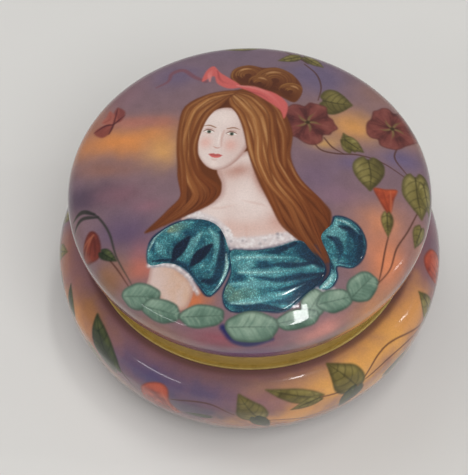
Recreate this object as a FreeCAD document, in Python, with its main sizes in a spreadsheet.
import FreeCAD, Part
import math
import os

import Sketcher
from FreeCAD import Rotation, Vector

# An enamelled pill box: a bowl-shaped base and a domed lid, joined at the back by a five-knuckle hinge.
# Millimetres, +Z up. The origin is the centre of the flat underside, and the hinge is towards +Y.
# Base and lid are each three nested shells of revolution, enamel over copper over an enamel lining.
# Their arcs share their centres, so every layer has the same thickness all over.

DIMENSIONS = {
    # thickness of the layers
    "enamel_coat": 0.35,
    "copper_wall": 0.4,
    "lining_coat": 0.25,
    # base: its widest circle, the shoulder above it, the side and the corner below it
    "base_radius": 25.1,
    "base_widest_height": 11.8,
    "shoulder_radius": 3.6,
    "side_radius": 15.0,
    "corner_radius": 5.0,
    # seam between base and lid, with the gap left when the box is shut
    "seam_height": 17.8,
    "seam_gap": 0.15,
    # lid: its widest circle, the tight edge above it, the side below it and the top of the dome
    "lid_radius": 23.0,
    "lid_widest_height": 24.3,
    "lid_edge_radius": 2.2,
    "lid_side_radius": 8.2,
    "lid_top_height": 28.9,
    # gilt band, neck and bezel
    "band_radius": 20.4,
    "lip_radius": 20.9,
    "lip_height": 0.4,
    "lip_round": 0.15,
    "neck_radius": 18.3,
    "neck_wall": 0.5,
    "neck_rise": 1.5,
    "neck_round": 0.2,
    "neck_clearance": 0.2,
    "bezel_radius": 20.35,
    "bezel_height": 0.55,
    "bezel_wall": 0.3,
    "bezel_rise": 1.8,
    # hinge
    "hinge_offset": 21.65,
    "hinge_length": 12.0,
    "knuckle_radius": 1.05,
    "knuckle_gap": 0.12,
    "pin_radius": 0.45,
    "pin_clearance": 0.05,
    "pin_overhang": 0.3,
    "pin_round": 0.15,
    "bearer_height": 0.5,
    "bearer_reach": 20.5,
    "bearer_depth": 1.5,
    # foil inlays on the dome
    "foil_height": 0.16,
}

KNUCKLE_COUNT = 5
START = 1
END = 2
CENTRE = 3
H_AXIS = -1
V_AXIS = -2
ORIGIN = (-1, 1)
UP = Vector(0, 0, 1)
ALONG_X = Rotation(Vector(0, 1, 0), 90)
TOLERANCE = 1e-3

# Outlines of the three foil inlays, seen from above: control points of closed smooth curves.
BODICE_OUTLINE = [
    (-2.5, -11.5), (0.5, -11.5), (3, -11), (6, -10), (7.5, -11.5), (9, -13.5), (8.5, -15.5), (6.5, -17.5),
    (4, -19.5), (1, -19.5), (-2.5, -19.5), (-3.5, -17.5), (-2.5, -14.5),
]
LEFT_SLEEVE_OUTLINE = [
    (-12.5, -10), (-10.5, -8), (-8, -7), (-5.5, -7), (-3.5, -8.5), (-2.5, -12), (-3, -15), (-5, -17.5),
    (-6.5, -16), (-8, -14), (-10, -13), (-12.5, -13),
]
RIGHT_SLEEVE_OUTLINE = [
    (8.5, -9.5), (10, -7.5), (10.5, -6.5), (12.5, -7), (14, -9), (14, -11.5), (12.5, -13.5), (10.5, -13.5),
    (9.5, -12.5),
]


class Size:
    """A length that carries its number and the spreadsheet formula that drives it."""

    def __init__(self, value, formula):
        self.value = value
        self.formula = formula

    def __add__(self, other):
        other = as_size(other)
        return Size(self.value + other.value, f"({self.formula} + {other.formula})")

    def __sub__(self, other):
        other = as_size(other)
        return Size(self.value - other.value, f"({self.formula} - {other.formula})")

    def __mul__(self, other):
        other = as_size(other)
        return Size(self.value * other.value, f"({self.formula} * {other.formula})")

    def __truediv__(self, other):
        other = as_size(other)
        return Size(self.value / other.value, f"({self.formula} / {other.formula})")


def as_size(number):
    """A plain number as a Size; a Size as itself."""
    return number if isinstance(number, Size) else Size(float(number), str(float(number)))


def cell(alias):
    """The Size held by one spreadsheet cell."""
    return Size(DIMENSIONS[alias], f"dims.{alias}")


def make_sheet(document):
    """Writes the driving dimensions into a spreadsheet, one aliased cell each."""
    sheet = document.addObject("Spreadsheet::Sheet", "dims")
    for row, (alias, value) in enumerate(DIMENSIONS.items(), start=1):
        sheet.set(f"A{row}", alias)
        sheet.set(f"B{row}", str(value))
        sheet.setAlias(f"B{row}", alias)
    document.recompute()


doc = FreeCAD.newDocument("pill_box")
make_sheet(doc)
subparts = []

ZERO = as_size(0)
HALF_GAP = cell("seam_gap") / 2
BASE_TOP = cell("base_widest_height") + cell("shoulder_radius")
BAND_TOP = cell("seam_height") - HALF_GAP
BEZEL_FOOT = cell("seam_height") + HALF_GAP
BEZEL_TOP = BEZEL_FOOT + cell("bezel_height")
# The dome is a sphere that leaves the lid's edge arc without a corner.
DOME_RISE = cell("lid_top_height") - cell("lid_widest_height")
DOME_REACH = cell("lid_radius") - cell("lid_edge_radius")
DOME_RADIUS = (
    DOME_REACH * DOME_REACH + DOME_RISE * DOME_RISE - cell("lid_edge_radius") * cell("lid_edge_radius")
) / ((DOME_RISE - cell("lid_edge_radius")) * 2)

ENAMEL_FACE = ZERO
COPPER_FACE = cell("enamel_coat")
LINING_FACE = COPPER_FACE + cell("copper_wall")
INNER_FACE = LINING_FACE + cell("lining_coat")


def add_subpart(thing, label):
    """Gives a finished object its name and puts it on the list of pieces."""
    thing.Label = label
    subparts.append(thing)


def new_body(name):
    """An empty PartDesign body."""
    return doc.addObject("PartDesign::Body", name)


def new_sketch(body, name, plane):
    """A sketch on one of its own body's origin planes, such as XZ_Plane."""
    sketch = body.newObject("Sketcher::SketchObject", name)
    support = next(each for each in body.Origin.OriginFeatures if each.Role == plane)
    sketch.AttachmentSupport = [(support, "")]
    sketch.MapMode = "FlatFace"
    return sketch


def drive(sketch, name, size, *constraint):
    """Adds a dimension to a sketch and binds it to its spreadsheet formula."""
    index = sketch.addConstraint(Sketcher.Constraint(*constraint, size.value))
    sketch.renameConstraint(index, name)
    sketch.setExpression(f"Constraints.{name}", size.formula)


def relate(sketch, *constraint):
    """Adds a geometric constraint, such as Coincident or Tangent."""
    sketch.addConstraint(Sketcher.Constraint(*constraint))


def draw_arc(sketch, centre, radius, first_degrees, last_degrees):
    """Draws an anticlockwise arc and returns its number in the sketch."""
    circle = Part.Circle(Vector(centre[0], centre[1], 0), UP, radius)
    arc = Part.ArcOfCircle(circle, math.radians(first_degrees), math.radians(last_degrees))
    return sketch.addGeometry(arc, False)


def draw_line(sketch, first, last):
    """Draws a line and returns its number in the sketch."""
    segment = Part.LineSegment(Vector(first[0], first[1], 0), Vector(last[0], last[1], 0))
    return sketch.addGeometry(segment, False)


def revolve(body, sketch, name):
    """Turns a profile once round the vertical axis of its sketch."""
    turned = body.newObject("PartDesign::Revolution", name)
    turned.Profile = sketch
    turned.ReferenceAxis = (sketch, ["V_Axis"])
    turned.Angle = 360
    sketch.Visibility = False
    body.Tip = turned
    doc.recompute()
    return turned


def draw_lid_face(sketch, offset, name):
    """One face of the lid in section: side, edge and dome arcs, at a depth below the outside."""
    depth = offset.value
    edge = cell("lid_edge_radius") - offset
    side = cell("lid_side_radius") - offset
    widest = cell("lid_widest_height").value
    edge_centre = (DOME_REACH.value, widest)
    side_centre = (cell("lid_radius").value - cell("lid_side_radius").value, widest)
    dome_centre = (0.0, cell("lid_top_height").value - DOME_RADIUS.value)
    lean = math.degrees(math.atan2(widest - dome_centre[1], DOME_REACH.value))
    drop = math.degrees(math.asin((widest - BEZEL_TOP.value) / side.value))
    dome = draw_arc(sketch, dome_centre, DOME_RADIUS.value - depth, lean, 90)
    shoulder = draw_arc(sketch, edge_centre, edge.value, 0, lean)
    flank = draw_arc(sketch, side_centre, side.value, -drop, 0)
    relate(sketch, "Tangent", dome, START, shoulder, END)
    relate(sketch, "Coincident", shoulder, START, flank, END)
    relate(sketch, "Horizontal", shoulder, CENTRE, shoulder, START)
    relate(sketch, "PointOnObject", dome, END, V_AXIS)
    drive(sketch, f"{name}_edge_radius", edge, "Radius", shoulder)
    return dome, shoulder, flank


def make_lid_layer(label, outer, inner):
    """One layer of the lid, between two depths below its outside."""
    body = new_body(label)
    sketch = new_sketch(body, f"{label}_profile", "XZ_Plane")
    dome, shoulder, flank = draw_lid_face(sketch, outer, "outer")
    inner_dome, inner_shoulder, inner_flank = draw_lid_face(sketch, inner, "inner")
    side = cell("lid_side_radius") - outer
    top = cell("lid_top_height")
    foot_points = [sketch.getPoint(arc, START) for arc in (flank, inner_flank)]
    foot = draw_line(sketch, *[(point.x, point.y) for point in foot_points])
    crown = draw_line(sketch, (0.0, (top - inner).value), (0.0, (top - outer).value))
    relate(sketch, "Coincident", foot, START, flank, START)
    relate(sketch, "Coincident", foot, END, inner_flank, START)
    relate(sketch, "Coincident", crown, START, inner_dome, END)
    relate(sketch, "Coincident", crown, END, dome, END)
    relate(sketch, "Horizontal", foot)
    relate(sketch, "PointOnObject", dome, CENTRE, V_AXIS)
    relate(sketch, "Horizontal", flank, CENTRE, flank, END)
    relate(sketch, "Coincident", dome, CENTRE, inner_dome, CENTRE)
    relate(sketch, "Coincident", shoulder, CENTRE, inner_shoulder, CENTRE)
    relate(sketch, "Coincident", flank, CENTRE, inner_flank, CENTRE)
    drive(sketch, "side_radius", side, "Radius", flank)
    drive(sketch, "widest_radius", cell("lid_radius") - outer, "DistanceX", *ORIGIN, shoulder, START)
    drive(sketch, "widest_height", cell("lid_widest_height"), "DistanceY", *ORIGIN, shoulder, START)
    drive(sketch, "crown_height", top - outer, "DistanceY", *ORIGIN, dome, END)
    drive(sketch, "foot_height", BEZEL_TOP, "DistanceY", *ORIGIN, foot, START)
    revolve(body, sketch, f"{label}_turned")
    add_subpart(body, label)


def draw_base_face(sketch, offset, name):
    """One face of the base in section: rim line, shoulder, side and corner arcs, and floor line."""
    shoulder_size = cell("shoulder_radius") - offset
    widest = cell("base_widest_height").value
    reach = cell("base_radius").value
    shoulder_centre = (reach - cell("shoulder_radius").value, widest)
    side_centre = (reach - cell("side_radius").value, widest)
    side = cell("side_radius").value - offset.value
    corner = cell("corner_radius").value - offset.value
    corner_height = cell("corner_radius").value
    drop = math.asin((widest - corner_height) / (side - corner))
    corner_centre = (side_centre[0] + (side - corner) * math.cos(drop), corner_height)
    top = widest + shoulder_size.value
    rim = draw_line(sketch, (cell("neck_radius").value, top), (shoulder_centre[0], top))
    shoulder = draw_arc(sketch, shoulder_centre, shoulder_size.value, 0, 90)
    flank = draw_arc(sketch, side_centre, side, -math.degrees(drop), 0)
    bend = draw_arc(sketch, corner_centre, corner, -90, -math.degrees(drop))
    floor = draw_line(sketch, (0.0, offset.value), (corner_centre[0], offset.value))
    relate(sketch, "Horizontal", rim)
    relate(sketch, "Coincident", rim, END, shoulder, END)
    relate(sketch, "Vertical", shoulder, CENTRE, shoulder, END)
    relate(sketch, "Horizontal", shoulder, CENTRE, shoulder, START)
    relate(sketch, "Coincident", shoulder, START, flank, END)
    relate(sketch, "Tangent", flank, START, bend, END)
    relate(sketch, "Coincident", bend, START, floor, END)
    relate(sketch, "Vertical", bend, CENTRE, bend, START)
    relate(sketch, "Horizontal", floor)
    relate(sketch, "PointOnObject", floor, START, V_AXIS)
    drive(sketch, f"{name}_shoulder_radius", shoulder_size, "Radius", shoulder)
    return rim, shoulder, flank, bend, floor


def make_base_layer(label, outer, inner):
    """One layer of the base, between two depths below its outside."""
    body = new_body(label)
    sketch = new_sketch(body, f"{label}_profile", "XZ_Plane")
    rim, shoulder, flank, bend, floor = draw_base_face(sketch, outer, "outer")
    inner_face = draw_base_face(sketch, inner, "inner")
    inner_rim, inner_shoulder, inner_flank, inner_bend, inner_floor = inner_face
    neck = cell("neck_radius")
    mouth = draw_line(sketch, (neck.value, (BASE_TOP - inner).value), (neck.value, (BASE_TOP - outer).value))
    axis = draw_line(sketch, (0.0, outer.value), (0.0, inner.value))
    relate(sketch, "Coincident", mouth, START, inner_rim, START)
    relate(sketch, "Coincident", mouth, END, rim, START)
    relate(sketch, "Vertical", mouth)
    relate(sketch, "Coincident", axis, START, floor, START)
    relate(sketch, "Coincident", axis, END, inner_floor, START)
    relate(sketch, "Horizontal", flank, CENTRE, flank, END)
    relate(sketch, "Coincident", shoulder, CENTRE, inner_shoulder, CENTRE)
    relate(sketch, "Coincident", flank, CENTRE, inner_flank, CENTRE)
    relate(sketch, "Coincident", bend, CENTRE, inner_bend, CENTRE)
    drive(sketch, "side_radius", cell("side_radius") - outer, "Radius", flank)
    drive(sketch, "corner_radius", cell("corner_radius") - outer, "Radius", bend)
    drive(sketch, "widest_radius", cell("base_radius") - outer, "DistanceX", *ORIGIN, shoulder, START)
    drive(sketch, "widest_height", cell("base_widest_height"), "DistanceY", *ORIGIN, shoulder, START)
    drive(sketch, "mouth_radius", neck, "DistanceX", *ORIGIN, mouth, START)
    if outer.value > 0:
        drive(sketch, "floor_height", outer, "DistanceY", *ORIGIN, floor, START)
    else:
        relate(sketch, "PointOnObject", floor, START, H_AXIS)
    revolve(body, sketch, f"{label}_turned")
    add_subpart(body, label)


def make_ring(label, corners):
    """A ring turned from a section of straight lines, each corner given by its radius and height."""
    body = new_body(label)
    sketch = new_sketch(body, f"{label}_profile", "XZ_Plane")
    points = [(radius.value, height.value) for radius, height in corners]
    lines = [draw_line(sketch, point, points[(index + 1) % len(points)]) for index, point in enumerate(points)]
    for index, line in enumerate(lines):
        relate(sketch, "Coincident", line, END, lines[(index + 1) % len(lines)], START)
    for index, (radius, height) in enumerate(corners):
        drive(sketch, f"radius_{index}", radius, "DistanceX", *ORIGIN, lines[index], START)
        drive(sketch, f"height_{index}", height, "DistanceY", *ORIGIN, lines[index], START)
    return body, revolve(body, sketch, f"{label}_turned")


def circles_at(feature, radius, heights):
    """Names of a feature's circular edges of one radius at any of the given heights."""
    names = []
    for number, edge in enumerate(feature.Shape.Edges, start=1):
        if not isinstance(edge.Curve, Part.Circle):
            continue
        level = edge.Curve.Center.z
        at_height = any(abs(level - height.value) < TOLERANCE for height in heights)
        if at_height and abs(edge.Curve.Radius - radius.value) < TOLERANCE:
            names.append(f"Edge{number}")
    return names


def round_circles(body, feature, radius, heights, size):
    """Rounds a ring's circular edges of one radius at the given heights."""
    fillet = body.newObject("PartDesign::Fillet", f"{body.Name}_rounded")
    fillet.Base = (feature, circles_at(feature, radius, heights))
    fillet.setExpression("Radius", size.formula)
    body.Tip = fillet
    doc.recompute()


def make_base_rim():
    """The gilt band round the base's mouth, with a rounded lip where it meets the enamel."""
    lip_top = BASE_TOP + cell("lip_height")
    corners = [
        (cell("neck_radius"), BASE_TOP),
        (cell("lip_radius"), BASE_TOP),
        (cell("lip_radius"), lip_top),
        (cell("band_radius"), lip_top),
        (cell("band_radius"), BAND_TOP),
        (cell("neck_radius"), BAND_TOP),
    ]
    body, ring = make_ring("base_rim", corners)
    round_circles(body, ring, cell("lip_radius"), (BASE_TOP, lip_top), cell("lip_round"))
    add_subpart(body, "base_rim")


def make_base_neck():
    """The upstanding ring that stiffens the mouth and centres the lid."""
    inner = cell("neck_radius") - cell("neck_wall")
    foot = BASE_TOP - INNER_FACE
    top = cell("seam_height") + cell("neck_rise")
    corners = [
        (inner, foot),
        (cell("neck_radius"), foot),
        (cell("neck_radius"), top),
        (inner, top),
    ]
    body, ring = make_ring("base_neck", corners)
    round_circles(body, ring, cell("neck_radius"), (top,), cell("neck_round"))
    add_subpart(body, "base_neck")


def make_lid_rim():
    """The lid's thin bezel: a flange under the shell's edge and a wall that stands inside it."""
    inner = cell("neck_radius") + cell("neck_clearance")
    wall = inner + cell("bezel_wall")
    top = BEZEL_TOP + cell("bezel_rise")
    corners = [
        (inner, BEZEL_FOOT),
        (cell("bezel_radius"), BEZEL_FOOT),
        (cell("bezel_radius"), BEZEL_TOP),
        (wall, BEZEL_TOP),
        (wall, top),
        (inner, top),
    ]
    body, _ = make_ring("lid_rim", corners)
    add_subpart(body, "lid_rim")


def place(thing, east, north, height, rotation=None):
    """Binds an object's position to the spreadsheet, with an optional fixed rotation."""
    if rotation is not None:
        thing.Placement = FreeCAD.Placement(Vector(0, 0, 0), rotation)
    thing.setExpression("Placement.Base.x", east.formula)
    thing.setExpression("Placement.Base.y", north.formula)
    thing.setExpression("Placement.Base.z", height.formula)


def make_box(name, length, width, height):
    """A Part box whose three sides come from the spreadsheet."""
    box = doc.addObject("Part::Box", name)
    box.setExpression("Length", length.formula)
    box.setExpression("Width", width.formula)
    box.setExpression("Height", height.formula)
    return box


def make_cylinder(name, radius, height):
    """A Part cylinder whose radius and height come from the spreadsheet."""
    cylinder = doc.addObject("Part::Cylinder", name)
    cylinder.setExpression("Radius", radius.formula)
    cylinder.setExpression("Height", height.formula)
    return cylinder


def cut(name, base, tool):
    """One object with another taken away."""
    result = doc.addObject("Part::Cut", name)
    result.Base = base
    result.Tool = tool
    return result


def make_bearer(label, ring_radius, foot):
    """The plate between a round gilt ring and the straight line of its hinge knuckles."""
    length = cell("hinge_length")
    plate = make_box(f"{label}_plate", length, cell("bearer_depth"), cell("bearer_height"))
    place(plate, ZERO - length / 2, cell("bearer_reach") - cell("bearer_depth"), foot)
    ring = make_cylinder(f"{label}_ring", ring_radius, cell("bearer_height"))
    place(ring, ZERO, ZERO, foot)
    add_subpart(cut(label, plate, ring), label)


def make_knuckle(label, slot, bore_radius, foot):
    """A hinge knuckle in one of the five slots, with the foot that joins it to its bearer."""
    pitch = cell("hinge_length") / KNUCKLE_COUNT
    length = pitch - cell("knuckle_gap")
    west = pitch * slot - cell("hinge_length") / 2 + cell("knuckle_gap") / 2
    tube = make_cylinder(f"{label}_tube", cell("knuckle_radius"), length)
    place(tube, west, cell("hinge_offset"), cell("seam_height"), ALONG_X)
    reach = cell("hinge_offset") - cell("bearer_reach")
    leaf = make_box(f"{label}_leaf", length, reach, cell("bearer_height"))
    place(leaf, west, cell("bearer_reach"), foot)
    solid = doc.addObject("Part::Fuse", f"{label}_solid")
    solid.Base = tube
    solid.Tool = leaf
    bore = make_cylinder(f"{label}_bore", bore_radius, length)
    place(bore, west, cell("hinge_offset"), cell("seam_height"), ALONG_X)
    add_subpart(cut(label, solid, bore), label)


def make_pin():
    """The wire pin through all five knuckles, with its two ends rounded over."""
    length = cell("hinge_length") + cell("pin_overhang") * 2
    wire = make_cylinder("hinge_pin_wire", cell("pin_radius"), length)
    place(wire, ZERO - length / 2, cell("hinge_offset"), cell("seam_height"), ALONG_X)
    doc.recompute()
    pin = doc.addObject("Part::Fillet", "hinge_pin")
    pin.Base = wire
    rounding = cell("pin_round").value
    ends = [
        number
        for number, edge in enumerate(wire.Shape.Edges, start=1)
        if isinstance(edge.Curve, Part.Circle)
    ]
    pin.Edges = [(number, rounding, rounding) for number in ends]
    add_subpart(pin, "hinge_pin")


def make_foil(label, outline):
    """A thin foil inlay: an outline padded upwards and kept only where it lies on the dome."""
    body = new_body(f"{label}_blank")
    sketch = new_sketch(body, f"{label}_outline", "XY_Plane")
    curve = Part.BSplineCurve()
    curve.buildFromPoles([Vector(east, north, 0) for east, north in outline], True)
    sketch.addGeometry(curve, False)
    blank = body.newObject("PartDesign::Pad", f"{label}_pad")
    blank.Profile = sketch
    blank.setExpression("Length", (cell("lid_top_height") + cell("foil_height") * 2).formula)
    body.Tip = blank
    centre = cell("lid_top_height") - DOME_RADIUS
    surface = doc.addObject("Part::Sphere", f"{label}_outside")
    surface.setExpression("Radius", (DOME_RADIUS + cell("foil_height")).formula)
    place(surface, ZERO, ZERO, centre)
    dome = doc.addObject("Part::Sphere", f"{label}_dome")
    dome.setExpression("Radius", DOME_RADIUS.formula)
    place(dome, ZERO, ZERO, centre)
    skin = cut(f"{label}_skin", surface, dome)
    foil = doc.addObject("Part::Common", label)
    foil.Base = body
    foil.Tool = skin
    add_subpart(foil, label)


def check_document():
    """Stops the script if any object failed, or any piece is empty, invalid or not one solid."""
    doc.recompute()
    for thing in doc.Objects:
        if "Invalid" in thing.State or "Error" in thing.State:
            raise RuntimeError(f"{thing.Name} failed: {thing.State}")
    for piece in subparts:
        if piece.Shape.isNull() or not piece.Shape.isValid():
            raise RuntimeError(f"{piece.Label} has no valid shape")
        if len(piece.Shape.Solids) != 1:
            raise RuntimeError(f"{piece.Label} has {len(piece.Shape.Solids)} solids")


def export_subparts():
    """Writes one STEP file for each piece, named after it."""
    os.makedirs("parts", exist_ok=True)
    for piece in subparts:
        piece.Shape.exportStep(os.path.join("parts", f"{piece.Label}.step"))
        print(f"{piece.Label}: {piece.Shape.Volume:.2f} mm3")


make_base_layer("base_enamel", ENAMEL_FACE, COPPER_FACE)
make_base_layer("base_copper_shell", COPPER_FACE, LINING_FACE)
make_base_layer("base_counter_enamel", LINING_FACE, INNER_FACE)
make_base_rim()
make_base_neck()
make_lid_layer("lid_enamel", ENAMEL_FACE, COPPER_FACE)
make_lid_layer("lid_copper_shell", COPPER_FACE, LINING_FACE)
make_lid_layer("lid_counter_enamel", LINING_FACE, INNER_FACE)
make_lid_rim()

BASE_FOOT = BAND_TOP - cell("bearer_height")
FREE_BORE = cell("pin_radius") + cell("pin_clearance")
make_bearer("base_hinge_bearer", cell("band_radius"), BASE_FOOT)
make_bearer("lid_hinge_bearer", cell("bezel_radius"), BEZEL_FOOT)
make_knuckle("base_knuckle_left", 0, cell("pin_radius"), BASE_FOOT)
make_knuckle("lid_knuckle_left", 1, FREE_BORE, BEZEL_FOOT)
make_knuckle("base_knuckle_centre", 2, cell("pin_radius"), BASE_FOOT)
make_knuckle("lid_knuckle_right", 3, FREE_BORE, BEZEL_FOOT)
make_knuckle("base_knuckle_right", 4, cell("pin_radius"), BASE_FOOT)
make_pin()

make_foil("foil_bodice", BODICE_OUTLINE)
make_foil("foil_left_sleeve", LEFT_SLEEVE_OUTLINE)
make_foil("foil_right_sleeve", RIGHT_SLEEVE_OUTLINE)

check_document()
export_subparts()
